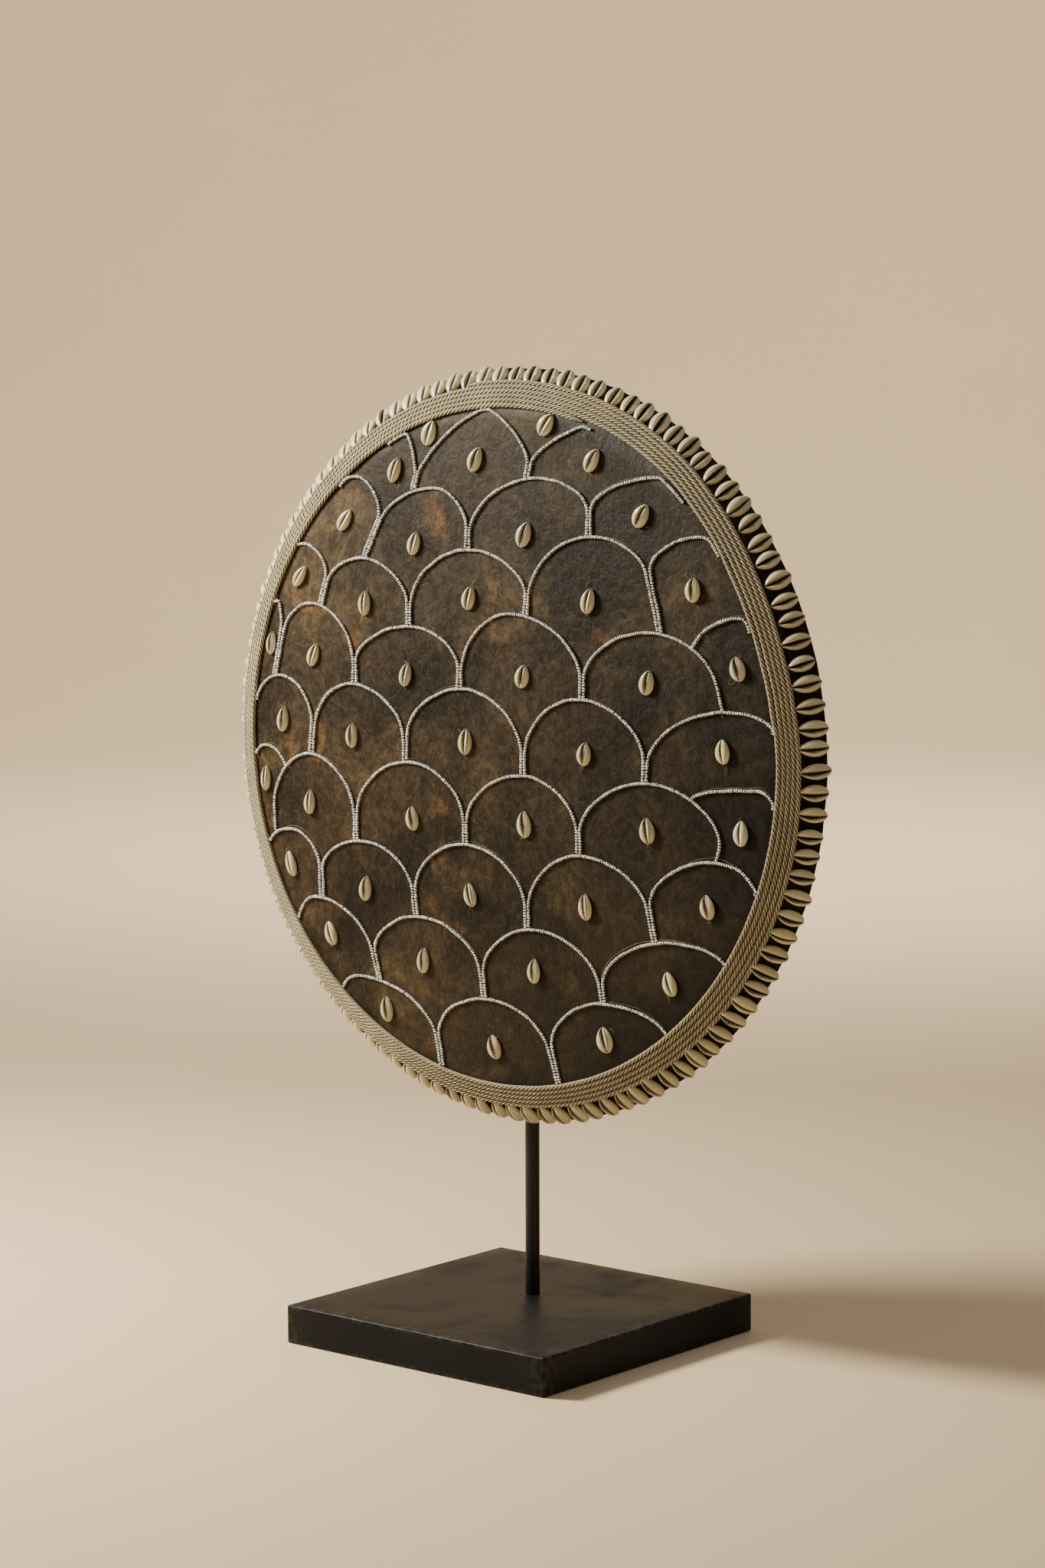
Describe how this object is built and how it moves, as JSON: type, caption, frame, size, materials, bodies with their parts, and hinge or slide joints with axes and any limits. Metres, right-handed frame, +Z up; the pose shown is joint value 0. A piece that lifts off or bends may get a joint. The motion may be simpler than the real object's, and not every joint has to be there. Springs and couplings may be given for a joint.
{
  "type": "cowrie shell shield on stand",
  "caption": "Round shield faced with dark hide, cowrie shells and scalloped bead strings, bound with wound cord, held upright on a rod over a square foot.",
  "frame": {"origin": "middle of the underside of the stand's square foot", "axes": "+Z up, the decorated face of the shield looks along -Y, +X to the viewer's right"},
  "size_m": [0.5679, 0.25, 0.7313],
  "materials": {
    "dark_hide": "dark brown mottled hide, satin, scuffed",
    "twisted_cord": "matt natural plant fibre, three strands twisted",
    "cowrie_shell": "glossy ivory cowrie shell",
    "glass_beads": "opaque white glass seed beads, slightly worn",
    "black_paint": "matt black painted board",
    "black_steel": "satin black steel",
    "zinc_screw": "dull zinc plate"
  },
  "bodies": {
    "root": {"back_plate": "black_steel", "base_plate": "black_paint", "bead_scallops": "glass_beads", "face_cowrie_01": "cowrie_shell", "face_cowrie_02": "cowrie_shell", "face_cowrie_03": "cowrie_shell", "face_cowrie_04": "cowrie_shell", "face_cowrie_05": "cowrie_shell", "face_cowrie_06": "cowrie_shell", "face_cowrie_07": "cowrie_shell", "face_cowrie_08": "cowrie_shell", "face_cowrie_09": "cowrie_shell", "face_cowrie_10": "cowrie_shell", "face_cowrie_11": "cowrie_shell", "face_cowrie_12": "cowrie_shell", "face_cowrie_13": "cowrie_shell", "face_cowrie_14": "cowrie_shell", "face_cowrie_15": "cowrie_shell", "face_cowrie_16": "cowrie_shell", "face_cowrie_17": "cowrie_shell", "face_cowrie_18": "cowrie_shell", "face_cowrie_19": "cowrie_shell", "face_cowrie_20": "cowrie_shell", "face_cowrie_21": "cowrie_shell", "face_cowrie_22": "cowrie_shell", "face_cowrie_23": "cowrie_shell", "face_cowrie_24": "cowrie_shell", "face_cowrie_25": "cowrie_shell", "face_cowrie_26": "cowrie_shell", "face_cowrie_27": "cowrie_shell", "face_cowrie_28": "cowrie_shell", "face_cowrie_29": "cowrie_shell", "face_cowrie_30": "cowrie_shell", "face_cowrie_31": "cowrie_shell", "face_cowrie_32": "cowrie_shell", "face_cowrie_33": "cowrie_shell", "face_cowrie_34": "cowrie_shell", "face_cowrie_35": "cowrie_shell", "face_cowrie_36": "cowrie_shell", "face_cowrie_37": "cowrie_shell", "face_cowrie_38": "cowrie_shell", "face_cowrie_39": "cowrie_shell", "face_cowrie_40": "cowrie_shell", "face_cowrie_41": "cowrie_shell", "face_cowrie_42": "cowrie_shell", "face_cowrie_43": "cowrie_shell", "plate_screw_1": "zinc_screw", "plate_screw_2": "zinc_screw", "plate_screw_3": "zinc_screw", "plate_screw_4": "zinc_screw", "pole": "black_steel", "rim_cowries": "cowrie_shell", "shield_board": "dark_hide", "wound_cord": "twisted_cord"}
  },
  "joints": []
}
